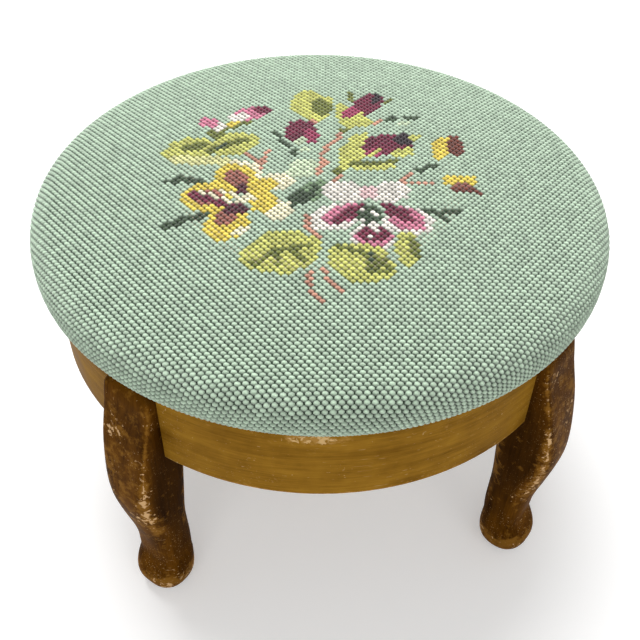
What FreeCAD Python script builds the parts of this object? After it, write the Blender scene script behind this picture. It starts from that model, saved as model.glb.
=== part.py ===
import FreeCAD, Part
import math
import os

# Upholstered footstool: a round needlepoint seat over a curved apron on four sawn cabriole legs.
# Millimetres, +Z up. The origin is on the floor under the middle of the seat. The front is -Y,
# and the legs stand at the four corners, 45 degrees off the front.
# Azimuths are counted from the front (-Y) towards the right (+X).

V = FreeCAD.Vector
UP = V(0, 0, 1)

# Seat
SEAT_R = 165.0           # widest radius of the upholstered seat
SIDE_DRAW_IN = 15.0      # radius of the quarter round that draws the side in to the hem
SHOULDER_R = 14.0        # rounding between the side and the crown
CROWN_RISE = 21.0        # from the widest line up to the middle of the seat
COVER_THICK = 2.0        # wool stitches on canvas
BOARD_THICK = 12.0
BOARD_RIM_GAP = 1.0      # the board's rim lies this far inside the turn of the hem
PAD_GAP = 0.3            # between the padding and the faces around it
CROWN_STEPS = 2          # straight facets along each round of the seat's outline
ROUND_STEPS = 3

# Apron
FRAME_TOP = 184.0        # floor to the top of the rails and legs
SEAT_OVERHANG = 8.5      # the seat stands this far out over the apron
RAIL_HEIGHT = 51.0
RAIL_THICK = 20.0
RAIL_EASE = 1.5          # chamfer on the apron's lower outer edge
TENON_THICK = 9.0        # stub tenons on the ends of the rails
TENON_HEIGHT = 34.0
TENON_LENGTH = 13.0
GLUE_LINE = 0.1          # clearance around a glued piece
LEG_AZIMUTHS = {"front_left": -45.0, "front_right": 45.0, "back_right": 135.0, "back_left": 225.0}
RAIL_AZIMUTHS = {"front": 0.0, "right": 90.0, "back": 180.0, "left": 270.0}

# Cabriole leg, sawn from two sides of a square blank
LEG_THICK = 33.0         # across the leg
POST_PROUD = 4.5         # the post stands this far out of the apron
POST_DEPTH = 31.0
POST_LENGTH = 21.0       # the back of the post is straight this far down
KNEE_Z = 100.0
KNEE_OUT = 15.5          # the knee stands this far out of the post
KNEE_DEPTH = 37.0
NOTCH_Z = 30.0           # cut above the knob foot
NOTCH_IN = 12.5          # from the knee back to the notch
ANKLE_DEPTH = 23.0
FOOT_Z = 13.0            # height of the knob's widest line
FOOT_OUT = 8.5           # the knob stands this far out of the notch
FOOT_DEPTH = 32.5
SOLE_IN = 9.5            # from the knob back to the front of its flat sole
SOLE_LENGTH = 14.0
SOLE_WIDTH = 14.0
LEG_EASE = 4.0           # chamfer on the leg's long edges
SAWING_TOLERANCE = 0.5   # how closely arcs follow the drawn curve

# Corner blocks
BLOCK_THICK = 22.0
BLOCK_DROP = 3.0         # the block's top lies this far under the top of the rails
BLOCK_DEPTH = 32.5       # from the inside of the apron in to the block's flat face
BLOCK_FACE_WIDTH = 86.0
BLOCK_BACK_WIDTH = 110.0
BLOCK_LEG_GAP = 1.0

# Cut nails that hold the blocks to the rails
NAIL_LENGTH = 42.0
NAIL_WIDE = 2.6          # side of the square shank under the head
NAIL_TIP = 1.2
NAIL_HEAD = 5.0
NAIL_HEAD_THICK = 1.4
NAIL_SIDE = 34.0         # to each side of the leg's middle plane
NAIL_GAP = 0.05

# Seat screws, up through the blocks into the board
SCREW_R = 2.0
SCREW_GAP = 0.1
HEAD_R = 4.0
HEAD_TOP_R = 2.6
HEAD_H = 2.4
SCREW_IN_BLOCK = 10.0    # from the block's flat face to the screw
SCREW_IN_BOARD = 9.0

# Upholstery tacks
TACK_COUNT = 16
TACK_INSIDE = 9.5        # from the inside of the apron in to the ring of tacks
HEM_PAST_TACKS = 9.0     # the hem ends this far past the tacks
TACK_HEAD_R = 4.0
TACK_HEAD_TOP_R = 2.0
TACK_HEAD_H = 1.2
TACK_SHANK = 1.8         # side of the square shank under the head
TACK_TIP = 0.5
TACK_LENGTH = 8.0
TACK_GAP = 0.05

# Levels, from the floor
RAIL_BOTTOM = FRAME_TOP - RAIL_HEIGHT
BOARD_BOTTOM = FRAME_TOP + COVER_THICK
BOARD_TOP = BOARD_BOTTOM + BOARD_THICK
WIDEST_Z = FRAME_TOP + SIDE_DRAW_IN
CROWN_Z = WIDEST_Z + CROWN_RISE
BLOCK_TOP = FRAME_TOP - BLOCK_DROP
BLOCK_BOTTOM = BLOCK_TOP - BLOCK_THICK

# Distances from the seat's axis
BOARD_R = SEAT_R - SIDE_DRAW_IN - BOARD_RIM_GAP
RAIL_OUTER_R = SEAT_R - SEAT_OVERHANG
RAIL_INNER_R = RAIL_OUTER_R - RAIL_THICK
TACK_RING_R = RAIL_INNER_R - TACK_INSIDE
HEM_INNER_R = TACK_RING_R - HEM_PAST_TACKS
BLOCK_FACE_RHO = RAIL_INNER_R - BLOCK_DEPTH
SEAT_SCREW_RHO = BLOCK_FACE_RHO + SCREW_IN_BLOCK
POST_OUTER = RAIL_OUTER_R + POST_PROUD
POST_INNER = POST_OUTER - POST_DEPTH
KNEE_OUTER = POST_OUTER + KNEE_OUT
KNEE_INNER = KNEE_OUTER - KNEE_DEPTH
NOTCH_OUTER = KNEE_OUTER - NOTCH_IN
ANKLE_INNER = NOTCH_OUTER - ANKLE_DEPTH
FOOT_OUTER = NOTCH_OUTER + FOOT_OUT
FOOT_INNER = FOOT_OUTER - FOOT_DEPTH
SOLE_OUTER = FOOT_OUTER - SOLE_IN
SOLE_INNER = SOLE_OUTER - SOLE_LENGTH
HALF_LEG = LEG_THICK / 2.0


def outward(azimuth):
    """Unit vector from the seat's axis towards an azimuth."""
    a = math.radians(azimuth)
    return V(math.sin(a), -math.cos(a), 0)


def sideways(azimuth):
    """Unit vector along the ring at an azimuth, towards larger azimuths."""
    a = math.radians(azimuth)
    return V(math.cos(a), math.sin(a), 0)


def place(azimuth, rho, side, z):
    """Point given by its distance outward, its distance sideways and its height."""
    return outward(azimuth) * rho + sideways(azimuth) * side + UP * z


def flat_face(points):
    """Flat face with straight edges through points."""
    return Part.Face(Part.makePolygon(points + [points[0]]))


def prism(points, height):
    """Upright solid on a flat polygon."""
    return flat_face(points).extrude(UP * height)


def frustum(lower, upper):
    """Solid with flat sides between two parallel polygons that have the same number of corners."""
    sides = [flat_face([lower[i - 1], lower[i], upper[i], upper[i - 1]]) for i in range(len(lower))]
    return Part.Solid(Part.Shell(sides + [flat_face(lower), flat_face(upper)]))


def upright(solid):
    """The same solid with its faces turned outwards."""
    if solid.Volume < 0:
        solid.reverse()
    return solid


# Legs

def sawn_curve(points):
    """Edges of a smooth curve through (distance, height) points, as the arcs that a saw would follow."""
    curve = Part.BSplineCurve()
    curve.interpolate(Points=[V(rho, 0, z) for rho, z in points])
    return [arc.toShape() for arc in curve.toBiArcs(SAWING_TOLERANCE)]


def part_way(start, end, across, down):
    """Point that has gone these shares of the way from one (distance, height) point to another."""
    return (start[0] + (end[0] - start[0]) * across, start[1] + (end[1] - start[1]) * down)


def side_profile():
    """Leg seen along the ring: post, knee, shank, notch and knob foot."""
    post, knee, notch = (POST_OUTER, FRAME_TOP), (KNEE_OUTER, KNEE_Z), (NOTCH_OUTER, NOTCH_Z)
    foot, sole = (FOOT_OUTER, FOOT_Z), (SOLE_OUTER, 0.0)
    front = [post, part_way(post, knee, 0.14, 0.25), part_way(post, knee, 0.52, 0.48),
             part_way(post, knee, 0.87, 0.79), knee, part_way(knee, notch, 0.24, 0.36),
             part_way(knee, notch, 0.72, 0.74), notch]
    knob = [notch, part_way(notch, foot, 0.71, 0.47), foot, part_way(foot, sole, 0.33, 0.75), sole]
    inner_sole, inner_foot = (SOLE_INNER, 0.0), (FOOT_INNER, FOOT_Z)
    ankle, hollow = (ANKLE_INNER, NOTCH_Z), (KNEE_INNER, KNEE_Z)
    post_foot = (POST_INNER, FRAME_TOP - POST_LENGTH)
    back = [inner_sole, part_way(inner_sole, inner_foot, 0.68, 0.33), inner_foot, ankle,
            part_way(ankle, hollow, 0.9, 0.6), hollow, part_way(hollow, post_foot, 0.08, 0.35),
            part_way(hollow, post_foot, 0.5, 0.66), post_foot]
    straight = [((SOLE_OUTER, 0.0), inner_sole), (post_foot, (POST_INNER, FRAME_TOP)),
                ((POST_INNER, FRAME_TOP), post)]
    lines = [Part.makeLine(V(a[0], 0, a[1]), V(b[0], 0, b[1])) for a, b in straight]
    return sawn_curve(front) + sawn_curve(knob) + sawn_curve(back) + lines


def front_profile():
    """Leg seen from outside: straight sides that round in to the sole below the knob's widest line."""
    top, wide, sole = (HALF_LEG, FRAME_TOP), (HALF_LEG, FOOT_Z), (SOLE_WIDTH / 2.0, 0.0)
    rounding = [wide, part_way(wide, sole, 0.34, 0.67), sole]
    edges = []
    for side in (-1, 1):
        edges.append(Part.makeLine(V(0, side * top[0], top[1]), V(0, side * wide[0], wide[1])))
        edges.append(Part.Arc(*[V(0, side * y, z) for y, z in rounding]).toShape())
    for y, z in (top, sole):
        edges.append(Part.makeLine(V(0, -y, z), V(0, y, z)))
    return edges


def is_long_edge(edge):
    """An edge of the leg that runs along one of its flat sides, above the notch."""
    ends = [vertex.Point for vertex in edge.Vertexes]
    along = all(abs(abs(p.y) - HALF_LEG) < 0.01 and p.z > NOTCH_Z - 0.01 for p in ends)
    return along and len(ends) == 2 and abs(ends[0].z - ends[1].z) > 0.01 and ends[0].y * ends[1].y > 0


def leg_blank():
    """Cabriole leg without its mortises: X is the distance from the seat's axis, Y the side."""
    from_side = Part.Face(Part.Wire(Part.__sortEdges__(side_profile()))).extrude(V(0, LEG_THICK, 0))
    from_side.translate(V(0, -HALF_LEG, 0))
    from_front = Part.Face(Part.Wire(Part.__sortEdges__(front_profile()))).extrude(V(2 * SEAT_R, 0, 0))
    leg = from_side.common(from_front).removeSplitter()
    return leg.makeChamfer(LEG_EASE, [edge for edge in leg.Edges if is_long_edge(edge)])


def make_leg(azimuth, blank):
    """One leg turned to its corner, with a mortise in each side."""
    leg = blank.copy()
    leg.rotate(V(0, 0, 0), UP, azimuth - 90)
    return leg.cut(Part.makeCompound([tenon(azimuth, side, GLUE_LINE) for side in (-1, 1)]))


# Apron

def tenon(azimuth, side, looser=0.0):
    """Stub tenon that enters one side of a leg; looser gives its mortise."""
    middle_r = (RAIL_OUTER_R + RAIL_INNER_R) / 2.0
    rho = math.sqrt(middle_r ** 2 - HALF_LEG ** 2)
    half = TENON_THICK / 2.0 + looser
    inner, outer = HALF_LEG - TENON_LENGTH - looser, HALF_LEG + TENON_THICK
    middle_z = (FRAME_TOP + RAIL_BOTTOM) / 2.0
    spots = [(rho - half, inner), (rho + half, inner), (rho + half, outer), (rho - half, outer)]
    base = middle_z - TENON_HEIGHT / 2.0 - looser
    return prism([place(azimuth, r, side * t, base) for r, t in spots], TENON_HEIGHT + 2 * looser)


def make_rail(azimuth):
    """Curved rail between two legs; its shoulders are cut along the flat sides of the legs."""
    ring = Part.makeCylinder(RAIL_OUTER_R, RAIL_HEIGHT, V(0, 0, RAIL_BOTTOM))
    lower = [e for e in ring.Edges if isinstance(e.Curve, Part.Circle)
             and abs(e.CenterOfMass.z - RAIL_BOTTOM) < 0.01]
    ring = ring.makeChamfer(RAIL_EASE, lower)
    ring = ring.cut(Part.makeCylinder(RAIL_INNER_R, RAIL_HEIGHT, V(0, 0, RAIL_BOTTOM)))
    apex = outward(azimuth) * (HALF_LEG / math.sin(math.radians(45))) + UP * RAIL_BOTTOM
    reach = 2 * RAIL_OUTER_R
    wedge = prism([apex, apex + outward(azimuth - 45) * reach, apex + outward(azimuth + 45) * reach],
                  RAIL_HEIGHT)
    ends = [(azimuth + 45 * end, -end) for end in (-1, 1)]
    rail = ring.common(wedge).fuse([tenon(leg, side) for leg, side in ends]).removeSplitter()
    return rail.cut(Part.makeCompound([nail(leg, side, NAIL_GAP) for leg, side in ends]))


# Corner blocks, nails and screws

def square(azimuth, start, half):
    """Upright square across the outward direction."""
    corners = ((-half, -half), (half, -half), (half, half), (-half, half))
    return [start + sideways(azimuth) * x + UP * z for x, z in corners]


def nail(azimuth, side, looser=0.0):
    """Cut nail driven outwards through a corner block into a rail; looser gives its hole."""
    start = place(azimuth, BLOCK_FACE_RHO, side * NAIL_SIDE, (BLOCK_TOP + BLOCK_BOTTOM) / 2.0)
    end = start + outward(azimuth) * (NAIL_LENGTH + looser)
    shank = upright(frustum(square(azimuth, start, NAIL_WIDE / 2.0 + looser),
                            square(azimuth, end, NAIL_TIP / 2.0 + looser)))
    if looser:
        return shank
    outside = start - outward(azimuth) * NAIL_HEAD_THICK
    half = NAIL_HEAD / 2.0
    head = upright(frustum(square(azimuth, outside, half), square(azimuth, start, half)))
    return shank.fuse(head).removeSplitter()


def level_ring(azimuth, rho, z, radius, corners):
    """Level polygon of one radius, with its middle at a distance from the seat's axis."""
    angles = [2 * math.pi * (i + 0.5) / corners for i in range(corners)]
    return [place(azimuth, rho + radius * math.cos(a), radius * math.sin(a), z) for a in angles]


def seat_screw(azimuth, looser=0.0):
    """Screw that comes up through a corner block into the seat board; looser gives its hole."""
    length = BOARD_BOTTOM + SCREW_IN_BOARD - BLOCK_BOTTOM + looser
    start = place(azimuth, SEAT_SCREW_RHO, 0, BLOCK_BOTTOM)
    shank = Part.makeCylinder(SCREW_R + looser, length, start)
    if looser:
        return shank
    head = upright(frustum(level_ring(azimuth, SEAT_SCREW_RHO, BLOCK_BOTTOM - HEAD_H, HEAD_TOP_R, 8),
                           level_ring(azimuth, SEAT_SCREW_RHO, BLOCK_BOTTOM, HEAD_R, 8)))
    return shank.fuse(head).removeSplitter()


def make_block(azimuth):
    """Corner block, curved to lie against both rails and notched round the leg."""
    corners = [(BLOCK_FACE_RHO, -BLOCK_FACE_WIDTH / 2.0), (BLOCK_FACE_RHO, BLOCK_FACE_WIDTH / 2.0),
               (RAIL_OUTER_R, BLOCK_BACK_WIDTH / 2.0), (RAIL_OUTER_R, -BLOCK_BACK_WIDTH / 2.0)]
    block = prism([place(azimuth, rho, side, BLOCK_BOTTOM) for rho, side in corners], BLOCK_THICK)
    block = block.common(Part.makeCylinder(RAIL_INNER_R - GLUE_LINE, FRAME_TOP))
    notch_rho = POST_INNER - BLOCK_LEG_GAP
    notch_half = HALF_LEG + BLOCK_LEG_GAP
    notch = prism([place(azimuth, rho, side, BLOCK_BOTTOM) for rho, side in (
        (notch_rho, -notch_half), (notch_rho, notch_half),
        (RAIL_OUTER_R, notch_half), (RAIL_OUTER_R, -notch_half))], BLOCK_THICK)
    holes = [nail(azimuth, side, NAIL_GAP) for side in (-1, 1)] + [seat_screw(azimuth, SCREW_GAP)]
    return block.cut(Part.makeCompound([notch] + holes))


# Seat

def crown_r():
    """Radius of the shallow dome that meets the shoulder round smoothly."""
    reach = SEAT_R - SHOULDER_R
    return (reach ** 2 + CROWN_RISE ** 2 - SHOULDER_R ** 2) / (2 * (CROWN_RISE - SHOULDER_R))


def arc_points(centre, radius, start, end, steps):
    """Points along an arc of the seat's outline, as (radius, height)."""
    angles = [math.radians(start + (end - start) * i / steps) for i in range(steps + 1)]
    return [(centre[0] + radius * math.cos(a), centre[1] + radius * math.sin(a)) for a in angles]


def seat_outline(inset):
    """From the middle of the seat over crown and shoulder to the hem, set in from the cover's outside."""
    dome = (0.0, CROWN_Z - crown_r())
    shoulder = (SEAT_R - SHOULDER_R, WIDEST_Z)
    under = (SEAT_R - SIDE_DRAW_IN, WIDEST_Z)
    meeting = math.degrees(math.atan2(shoulder[1] - dome[1], shoulder[0]))
    points = arc_points(dome, crown_r() - inset, 90, meeting, CROWN_STEPS)
    points += arc_points(shoulder, SHOULDER_R - inset, meeting, 0, ROUND_STEPS)[1:]
    points += arc_points(under, SIDE_DRAW_IN - inset, 0, -90, ROUND_STEPS)[1:]
    points[0] = (0.0, CROWN_Z - inset)
    return points


def revolve(points):
    """Full turn about the seat's axis of an outline given as (radius, height)."""
    return flat_face([V(r, 0, z) for r, z in points]).revolve(V(0, 0, 0), UP, 360)


def make_cover():
    """Needlepoint cover: crowned over the seat, drawn in at the side and turned under the board."""
    hem = [(HEM_INNER_R, FRAME_TOP), (HEM_INNER_R, BOARD_BOTTOM)]
    cover = revolve(seat_outline(0.0) + hem + seat_outline(COVER_THICK)[::-1])
    return cover.cut(tack_holes())


def make_padding():
    """Padding that fills the cover above the board and wraps round the board's rim."""
    outline = seat_outline(COVER_THICK + PAD_GAP)
    rim = BOARD_R + PAD_GAP
    return revolve(outline + [(rim, outline[-1][1]), (rim, BOARD_TOP), (0.0, BOARD_TOP)])


def make_board():
    """Round seat board, drilled for the tacks and the seat screws."""
    board = Part.makeCylinder(BOARD_R, BOARD_THICK, V(0, 0, BOARD_BOTTOM))
    screws = [seat_screw(azimuth, SCREW_GAP) for azimuth in LEG_AZIMUTHS.values()]
    return board.cut(tack_holes()).cut(Part.makeCompound(screws))


# Tacks

def tack_azimuths():
    """Even spacing round the hem, half a step off the corners."""
    return [360.0 / TACK_COUNT * (i + 0.5) for i in range(TACK_COUNT)]




def tack_shank(azimuth, looser=0.0):
    """Square shank that tapers to a point, upwards from the hem; looser gives its hole."""
    wide = TACK_SHANK / math.sqrt(2) + looser
    point = TACK_TIP / math.sqrt(2) + looser
    return upright(frustum(level_ring(azimuth, TACK_RING_R, FRAME_TOP, wide, 4),
                           level_ring(azimuth, TACK_RING_R, FRAME_TOP + TACK_LENGTH + looser, point, 4)))


def tack_holes():
    """Holes that the tack shanks leave in the hem and the board."""
    return Part.makeCompound([tack_shank(azimuth, TACK_GAP) for azimuth in tack_azimuths()])


def make_tack(azimuth):
    """Cut tack with a low eight-sided head against the hem."""
    head = upright(frustum(level_ring(azimuth, TACK_RING_R, FRAME_TOP - TACK_HEAD_H, TACK_HEAD_TOP_R, 8),
                           level_ring(azimuth, TACK_RING_R, FRAME_TOP, TACK_HEAD_R, 8)))
    return head.fuse(tack_shank(azimuth)).removeSplitter()


def make_parts():
    """Every sub-part of the stool by name."""
    corners = LEG_AZIMUTHS.values()
    parts = {"needlepoint_cover": make_cover(), "seat_padding": make_padding(), "seat_board": make_board()}
    parts["cover_tacks"] = Part.makeCompound([make_tack(azimuth) for azimuth in tack_azimuths()])
    blank = leg_blank()
    for name, azimuth in LEG_AZIMUTHS.items():
        parts["leg_" + name] = make_leg(azimuth, blank)
        parts["corner_block_" + name] = make_block(azimuth)
    for name, azimuth in RAIL_AZIMUTHS.items():
        parts["apron_rail_" + name] = make_rail(azimuth)
    parts["block_nails"] = Part.makeCompound([nail(azimuth, side) for azimuth in corners for side in (-1, 1)])
    parts["seat_screws"] = Part.makeCompound([seat_screw(azimuth) for azimuth in corners])
    return parts


os.makedirs("parts", exist_ok=True)
for node, shape in make_parts().items():
    if not shape.isValid():
        print("not valid:", node)
    print(node, len(shape.Solids), "solids", round(shape.Volume / 1000.0, 1), "cm3")
    shape.exportStep("parts/" + node + ".step")
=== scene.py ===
# %% [markdown]
# # A low round footstool with a needlepoint seat
# The real stool is a ring of sawn wood on four cabriole legs, with a padded round seat dropped on it.
# The seat is covered in needlepoint: thousands of slanting wool stitches on a canvas. The wood parts are
# already solid bodies in the frame, so this lesson loads them, measures them, and dresses them.

# %% Load the frame
import math
import bmesh
import bpy
import numpy as np
from mathutils import Matrix, Vector


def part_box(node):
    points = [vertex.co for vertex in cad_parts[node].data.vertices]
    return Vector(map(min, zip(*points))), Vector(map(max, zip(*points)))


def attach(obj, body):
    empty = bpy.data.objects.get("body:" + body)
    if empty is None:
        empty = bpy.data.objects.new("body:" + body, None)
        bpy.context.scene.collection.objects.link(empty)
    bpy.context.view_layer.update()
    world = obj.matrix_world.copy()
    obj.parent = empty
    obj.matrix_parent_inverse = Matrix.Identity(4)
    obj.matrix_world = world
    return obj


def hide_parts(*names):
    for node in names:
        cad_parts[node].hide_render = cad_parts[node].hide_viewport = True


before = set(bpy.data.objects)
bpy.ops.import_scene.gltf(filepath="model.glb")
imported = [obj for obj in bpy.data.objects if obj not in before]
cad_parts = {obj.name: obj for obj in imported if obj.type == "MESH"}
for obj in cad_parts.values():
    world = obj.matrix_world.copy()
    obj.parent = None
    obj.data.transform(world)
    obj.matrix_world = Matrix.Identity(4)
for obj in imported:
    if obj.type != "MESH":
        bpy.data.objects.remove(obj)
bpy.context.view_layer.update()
BODY = "root"
MM = 0.001

# %% [markdown]
# ## Camera
# The photograph was taken from above the front of the stool, a little to the left, with the camera
# tipped by about one degree. A camera is a position and three directions: its right, its up, and its back.

# %% Camera
CAMERA_AT = Vector((-0.05998, -0.42049, 0.51866))
HEADING = math.radians(8.24)
PITCH = math.radians(44.23)
ROLL = math.radians(0.96)
LENS_MM = 50.625


def new_object(name, data):
    made = bpy.data.objects.new(name, data)
    bpy.context.scene.collection.objects.link(made)
    return made


ahead = Vector((math.sin(HEADING) * math.cos(PITCH), math.cos(HEADING) * math.cos(PITCH), -math.sin(PITCH)))
level_right = Vector((math.cos(HEADING), -math.sin(HEADING), 0.0))
level_up = level_right.cross(ahead)
cam_right = level_right * math.cos(ROLL) + level_up * math.sin(ROLL)
cam_up = cam_right.cross(ahead)
camera = new_object("camera", bpy.data.cameras.new("camera"))
camera.data.sensor_width = 36.0
camera.data.lens = LENS_MM
camera.data.clip_start = 0.01
turned = Matrix((cam_right, cam_up, -ahead)).transposed().to_4x4()
camera.matrix_world = Matrix.Translation(CAMERA_AT) @ turned
bpy.context.scene.camera = camera
print("camera at", tuple(round(v, 3) for v in CAMERA_AT))

# %% [markdown]
# ## Shader helpers
# Every material here is a small net of nodes. The first two helpers make a node with its settings, and feed
# an input with a socket or a plain value, so that the nets below stay short enough to read.

# %% Shader helpers
def add(tree, kind, **values):
    """New node; a keyword names an input socket (spaces as _) or, if there is none, a property."""
    node = tree.nodes.new(kind)
    for key, value in values.items():
        label = key.replace("_", " ")
        if label in node.inputs:
            node.inputs[label].default_value = value
        else:
            setattr(node, key, value)
    return node


def join(tree, source, target):
    """Feeds an input: with a link if the source is a socket, or else with the value itself."""
    if hasattr(source, "links"):
        tree.links.new(source, target)
    else:
        target.default_value = source


def material(name, roughness=0.6, **sockets):
    """A material with one Principled shader; returns it with its tree and its shader."""
    made = bpy.data.materials.new(name)
    made.use_nodes = True
    tree = made.node_tree
    shader = next(node for node in tree.nodes if node.type == "BSDF_PRINCIPLED")
    shader.inputs["Roughness"].default_value = roughness
    for key, value in sockets.items():
        shader.inputs[key.replace("_", " ")].default_value = value
    return made, tree, shader


def srgb(r, g, b):
    """Colour given as the screen's 0-255 numbers, turned into the linear values that shaders use."""
    return tuple(((c / 255 + 0.055) / 1.055) ** 2.4 if c > 10 else c / 255 / 12.92
                 for c in (r, g, b)) + (1.0,)


def ramp(tree, factor, stops):
    """Colour ramp fed by a factor; stops are (position, colour). Returns the result socket."""
    node = add(tree, "ShaderNodeValToRGB")
    while len(node.color_ramp.elements) < len(stops):
        node.color_ramp.elements.new(0.5)
    for element, (position, colour) in zip(node.color_ramp.elements, stops):
        element.position = position
        element.color = colour
    join(tree, factor, node.inputs["Fac"])
    return node.outputs["Color"]


def mix_colours(tree, factor, first, second):
    """Mixes two colours; each may be a socket or a colour. Returns the result socket."""
    node = add(tree, "ShaderNodeMix", data_type="RGBA")
    for value, slot in ((factor, 0), (first, 6), (second, 7)):
        join(tree, value, node.inputs[slot])
    return node.outputs[2]


def calc(tree, kind, first, second=0.0, third=0.0, clamp=False):
    """One Math node; each value may be a socket or a number. Returns the result socket."""
    node = add(tree, "ShaderNodeMath", operation=kind, use_clamp=clamp)
    for value, target in zip((first, second, third), node.inputs):
        join(tree, value, target)
    return node.outputs[0]


def past(tree, value, level, steepness):
    """0 up to a level, then a rise to 1: it turns soft noise into patches that have an edge."""
    return calc(tree, "MULTIPLY", calc(tree, "SUBTRACT", value, level), steepness, clamp=True)


def noise_at(tree, vector, scale, detail=3.0, rough=0.5, distort=0.0):
    """Noise texture read at a vector; the scale is in repeats per metre. Returns its value, 0 to 1."""
    node = add(tree, "ShaderNodeTexNoise", Scale=scale, Detail=detail, Roughness=rough,
               Distortion=distort)
    join(tree, vector, node.inputs["Vector"])
    return node.outputs["Fac"]


def stretched(tree, vector, scale, turn=(0.0, 0.0, 0.0)):
    """The vector turned and scaled, to give a texture a direction."""
    node = add(tree, "ShaderNodeMapping", Scale=scale, Rotation=turn)
    join(tree, vector, node.inputs["Vector"])
    return node.outputs["Vector"]


def bump(tree, shader, height, strength, distance):
    """Relief too fine to model, from a height between 0 and 1; the distance is its depth in metres."""
    node = add(tree, "ShaderNodeBump", Strength=strength, Distance=distance)
    join(tree, height, node.inputs["Height"])
    join(tree, node.outputs["Normal"], shader.inputs["Normal"])


print("shader helpers ready")

# %% [markdown]
# ## Piece helpers
# A finished piece is an object at the origin, with its place in its mesh. It rides on a body of the frame,
# takes the material it is given, and stands for a node of the frame, which is then hidden.

# %% Piece helpers
def outward(azimuth):
    """Level unit vector from the stool's axis; azimuth counts from the front towards the right."""
    a = math.radians(azimuth)
    return Vector((math.sin(a), -math.cos(a), 0.0))


def sideways(azimuth):
    """Level unit vector along the ring, towards larger azimuths."""
    a = math.radians(azimuth)
    return Vector((math.cos(a), math.sin(a), 0.0))


def piece(name, mesh, surface, replaces, smooth=True):
    """Object for a finished mesh, with its material, its body and the nodes it stands for."""
    made = new_object(name, mesh)
    mesh.materials.append(surface)
    if smooth:
        mesh.shade_smooth()
    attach(made, BODY)
    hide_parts(*replaces)
    print(name, len(mesh.polygons), "faces")
    return made


def mesh_from(name, bm, recalc=True):
    """Mesh from a bmesh, with its faces turned outwards."""
    if recalc:
        bmesh.ops.recalc_face_normals(bm, faces=bm.faces)
    mesh = bpy.data.meshes.new(name)
    bm.to_mesh(mesh)
    bm.free()
    return mesh


LEGS = {"front_left": -45.0, "front_right": 45.0, "back_right": 135.0, "back_left": 225.0}
RAILS = {"front": 0.0, "right": 90.0, "back": 180.0, "left": 270.0}
FRAME_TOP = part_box("leg_front_left")[1][2]
print("frame top", round(FRAME_TOP / MM, 1), "mm")

# %% [markdown]
# ## Old varnish
# The wood was stained and varnished, and decades of shoes have rubbed it. Four things show: streaks of
# grain under the varnish, a golden tone where the varnish has thinned, pale chips, and fine scratches. A
# picture of wood could be wrapped round each piece, but it would stretch on the curves. Noise textures
# follow the solid instead. Each piece stores three things on its points: "grain_spot", a place whose X runs
# along the grain; "edge", which is 1 on a corner that shoes can reach, so that the wear sits on the real
# corners; and a third value, which is 1 where shade is painted into the colour as darker varnish, on the
# legs' sides and backs up beside the rails and on the rails' inner faces.

# %% Worn varnish node group
# Repeats per metre, along the grain or the streak and across it
FINE_GRAIN = (45.0, 900.0, 900.0)
BROAD_GRAIN = (9.0, 120.0, 120.0)
SCRATCH = (70.0, 1500.0, 1500.0)
# Repeats per metre, the same every way
SCRATCHED_PLACES, MOTTLE, CHIPPED_PLACES, RUBBING, CHIPS = 31.0, 42.0, 60.0, 150.0, 340.0
# Colour of the painted shade on the legs' sides and backs and on the rails' inner faces
PAINTED_SHADE_COLOUR = srgb(30, 13, 1)


def grain_tone(tree, fine, broad, mottle):
    """0 where the varnish is dark and 1 where it is light."""
    shares = (0.55, 0.5, 0.6)
    contrast = 2.1
    tone = calc(tree, "MULTIPLY", mottle, shares[2])
    tone = calc(tree, "MULTIPLY_ADD", broad, shares[1], tone)
    tone = calc(tree, "MULTIPLY_ADD", fine, shares[0], tone)
    from_middle = calc(tree, "SUBTRACT", tone, sum(shares) / 2)
    return calc(tree, "MULTIPLY_ADD", from_middle, contrast, 0.5, clamp=True)


def chip_mask(tree, spot, edge, painted_shade, wear):
    """1 where the varnish has chipped off: most on sharp corners, least under the painted shade."""
    sharpest = calc(tree, "POWER", edge, 6.0)
    chip = calc(tree, "MULTIPLY_ADD", sharpest, 0.16, calc(tree, "MULTIPLY", edge, 0.08))
    chip = calc(tree, "ADD", chip, noise_at(tree, spot, CHIPS, 3.0, 0.6, 0.5))
    chip = calc(tree, "MULTIPLY_ADD", painted_shade, -0.11, chip)
    chip = calc(tree, "MULTIPLY_ADD", noise_at(tree, spot, CHIPPED_PLACES, 2.0), 0.6, chip)
    return past(tree, calc(tree, "MULTIPLY_ADD", wear, 0.13, chip), 1.05, 14.0)


def scratch_mask(tree, spot, painted_shade, wear):
    """1 on scratches: thin streaks of noise in two directions, each kept to its own places."""
    both = None
    for turn, places_turn in (((0.4, 0.9, 0.3), 0.0), ((1.3, -0.5, 1.1), 3.7)):
        streaks = noise_at(tree, stretched(tree, spot, SCRATCH, turn), 1.0, 1.0, 0.5, 0.25)
        places = stretched(tree, spot, (SCRATCHED_PLACES,) * 3, (places_turn, 0.0, 0.0))
        here = calc(tree, "GREATER_THAN", noise_at(tree, places, 1.0, 2.0), 0.5)
        kept = calc(tree, "MULTIPLY", past(tree, streaks, 0.7, 20.0), here)
        both = kept if both is None else calc(tree, "MAXIMUM", both, kept)
    both = calc(tree, "MULTIPLY", both, calc(tree, "MULTIPLY_ADD", wear, 1.2, 0.35), clamp=True)
    # Fewer scratches under the painted shade
    return calc(tree, "MULTIPLY", both, calc(tree, "MULTIPLY_ADD", painted_shade, -0.8, 1.0))


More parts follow.
